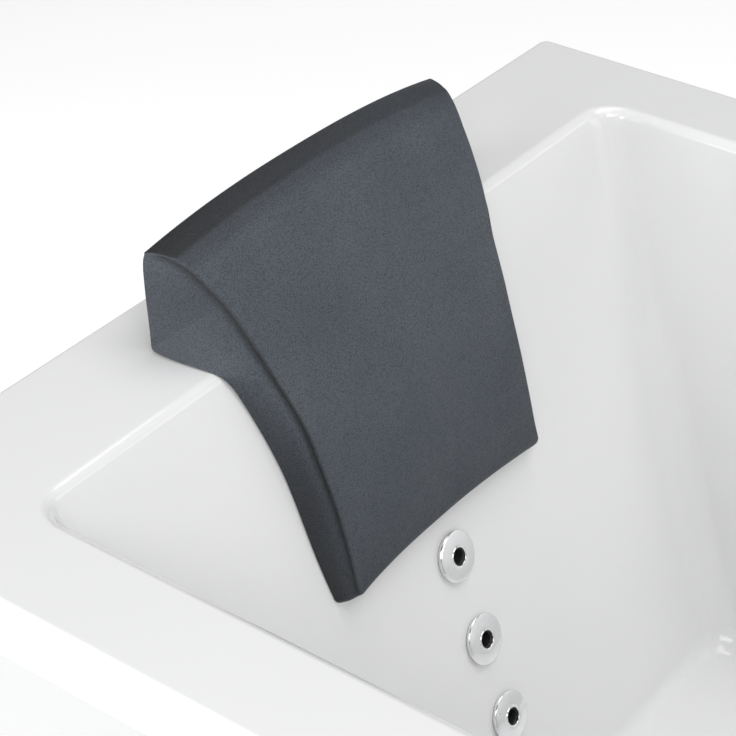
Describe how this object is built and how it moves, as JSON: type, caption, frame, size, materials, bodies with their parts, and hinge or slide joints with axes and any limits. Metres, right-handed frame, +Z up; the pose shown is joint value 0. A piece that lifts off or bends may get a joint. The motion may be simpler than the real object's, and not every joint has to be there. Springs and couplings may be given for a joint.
{
  "type": "jetted bathtub",
  "caption": "Rectangular jetted bathtub with a sloped backrest, padded headrest, swivelling water jets, pump, plumbing and a skirted steel frame.",
  "frame": {"origin": "middle of the tub's footprint on the floor", "axes": "+X along the tub from the sloped head end to the foot end, -Y the skirted front, +Z up"},
  "size_m": [1.8, 0.9, 0.7388],
  "materials": {
    "acrylic": "glossy white moulded sheet",
    "fibreglass": "rough sprayed glass-fibre resin",
    "board": "raw chipboard",
    "frame_steel": "grey galvanised tube",
    "zinc_steel": "zinc plated",
    "chrome": "polished",
    "black_plastic": "moulded black",
    "white_pvc": "satin white pipe plastic",
    "clear_hose": "milky flexible tube",
    "grey_pipe": "grey waste pipe plastic",
    "rubber_black": "matt",
    "foot_plastic": "moulded dark foot",
    "motor_paint": "dark painted casting",
    "cast_cap": "cast",
    "laminated_core": "stacked sheets",
    "shaft_steel": "ground",
    "pump_plastic": "glass-filled black",
    "pillow_skin": "dark slate grained synthetic leather"
  },
  "bodies": {
    "tub": {"tub_shell": "acrylic", "shell_backing": "fibreglass", "base_board": "board", "front_apron": "acrylic", "head_end_panel": "acrylic", "foot_end_panel": "acrylic", "frame_base_rails": "frame_steel", "frame_cross_rails": "frame_steel", "frame_posts": "frame_steel", "frame_rim_rails": "frame_steel", "foot_pads": "foot_plastic", "foot_studs": "zinc_steel", "foot_lock_nuts": "zinc_steel", "jet_gaskets": "rubber_black", "jet_bodies": "white_pvc", "jet_lock_nuts": "white_pvc", "suction_body": "white_pvc", "suction_cover": "chrome", "panel_screws": "zinc_steel", "panel_spacers": "zinc_steel", "water_pipes": "white_pvc", "pipe_fittings": "white_pvc", "air_pipes": "clear_hose", "overflow_body": "grey_pipe", "overflow_plate": "chrome", "waste_pipes": "grey_pipe", "waste_fittings": "grey_pipe", "drain_flange": "chrome", "air_valve_body": "chrome", "button_body": "chrome", "button_tube": "clear_hose", "pump_shelf": "frame_steel", "pump_bracket": "pump_plastic", "motor_housing": "motor_paint", "motor_end_caps": "cast_cap", "stator": "laminated_core", "bearings": "shaft_steel", "volute": "pump_plastic", "fan_cover": "pump_plastic", "terminal_box": "pump_plastic", "cable_gland": "black_plastic"},
    "overflow_knob": {"overflow_knob": "chrome"},
    "plug": {"drain_plug": "chrome"},
    "air_knob": {"air_knob": "chrome"},
    "button": {"button_cap": "chrome"},
    "pump_rotor": {"pump_shaft": "shaft_steel", "impeller": "black_plastic", "cooling_fan": "black_plastic"},
    "pillow": {"pillow": "pillow_skin", "pillow_studs": "rubber_black"},
    "jet_ring_1": {"jet_ring_1": "chrome"},
    "jet_nozzle_1": {"jet_nozzle_1": "black_plastic"},
    "jet_ring_2": {"jet_ring_2": "chrome"},
    "jet_nozzle_2": {"jet_nozzle_2": "black_plastic"},
    "jet_ring_3": {"jet_ring_3": "chrome"},
    "jet_nozzle_3": {"jet_nozzle_3": "black_plastic"},
    "jet_ring_4": {"jet_ring_4": "chrome"},
    "jet_nozzle_4": {"jet_nozzle_4": "black_plastic"},
    "jet_ring_5": {"jet_ring_5": "chrome"},
    "jet_nozzle_5": {"jet_nozzle_5": "black_plastic"}
  },
  "joints": [
    {"name": "jet_ring_1_turn", "type": "hinge", "parent": "tub", "child": "jet_ring_1", "pos_m": [-0.68731, 0, 0.404], "axis": [0.9252, 0, 0.3795], "range_deg": [0, 90]},
    {"name": "jet_nozzle_1_tilt", "type": "hinge", "parent": "jet_ring_1", "child": "jet_nozzle_1", "pos_m": [-0.69064, 0, 0.40263], "axis": [0.3795, 0, -0.9252], "range_deg": [-12, 12]},
    {"name": "jet_ring_2_turn", "type": "hinge", "parent": "tub", "child": "jet_ring_2", "pos_m": [-0.65696, 0, 0.33], "axis": [0.9252, 0, 0.3795], "range_deg": [0, 90]},
    {"name": "jet_nozzle_2_tilt", "type": "hinge", "parent": "jet_ring_2", "child": "jet_nozzle_2", "pos_m": [-0.66029, 0, 0.32863], "axis": [0.3795, 0, -0.9252], "range_deg": [-12, 12]},
    {"name": "jet_ring_3_turn", "type": "hinge", "parent": "tub", "child": "jet_ring_3", "pos_m": [-0.62784, 0, 0.259], "axis": [0.9252, 0, 0.3795], "range_deg": [0, 90]},
    {"name": "jet_nozzle_3_tilt", "type": "hinge", "parent": "jet_ring_3", "child": "jet_nozzle_3", "pos_m": [-0.63117, 0, 0.25763], "axis": [0.3795, 0, -0.9252], "range_deg": [-12, 12]},
    {"name": "jet_ring_4_turn", "type": "hinge", "parent": "tub", "child": "jet_ring_4", "pos_m": [0.15, 0.32643, 0.31], "axis": [0, -0.9932, 0.1167], "range_deg": [0, 90]},
    {"name": "jet_nozzle_4_tilt", "type": "hinge", "parent": "jet_ring_4", "child": "jet_nozzle_4", "pos_m": [0.15, 0.33001, 0.30958], "axis": [1, 0, 0], "range_deg": [-12, 12]},
    {"name": "jet_ring_5_turn", "type": "hinge", "parent": "tub", "child": "jet_ring_5", "pos_m": [0.15, -0.32643, 0.31], "axis": [0, 0.9932, 0.1167], "range_deg": [0, 90]},
    {"name": "jet_nozzle_5_tilt", "type": "hinge", "parent": "jet_ring_5", "child": "jet_nozzle_5", "pos_m": [0.15, -0.33001, 0.30958], "axis": [-1, 0, 0], "range_deg": [-12, 12]},
    {"name": "overflow_knob_turn", "type": "hinge", "parent": "tub", "child": "overflow_knob", "pos_m": [0.78446, 0, 0.565], "axis": [-0.9903, 0, 0.1392], "range_deg": [0, 90]},
    {"name": "plug_lift", "type": "slide", "parent": "tub", "child": "plug", "axis": [0, 0, 1], "range_m": [0, 0.012]},
    {"name": "air_knob_turn", "type": "hinge", "parent": "tub", "child": "air_knob", "pos_m": [0.85, 0.17, 0.64], "axis": [0, 0, 1], "range_deg": [0, 270]},
    {"name": "button_press", "type": "slide", "parent": "tub", "child": "button", "axis": [0, 0, -1], "range_m": [0, 0.004], "stiffness_N_per_m": 600, "springref_m": -0.003},
    {"name": "pump_spin", "type": "hinge", "parent": "tub", "child": "pump_rotor", "pos_m": [-0.74, 0, 0.188], "axis": [0, 1, 0], "continuous": true},
    {"name": "pillow_pull", "type": "slide", "parent": "tub", "child": "pillow", "axis": [0.9252, 0, 0.3795], "range_m": [0, 0.05]}
  ],
  "couplings": [
    {"joint": "plug_lift", "follows": "overflow_knob_turn", "m_per_rad": 0.0076}
  ]
}
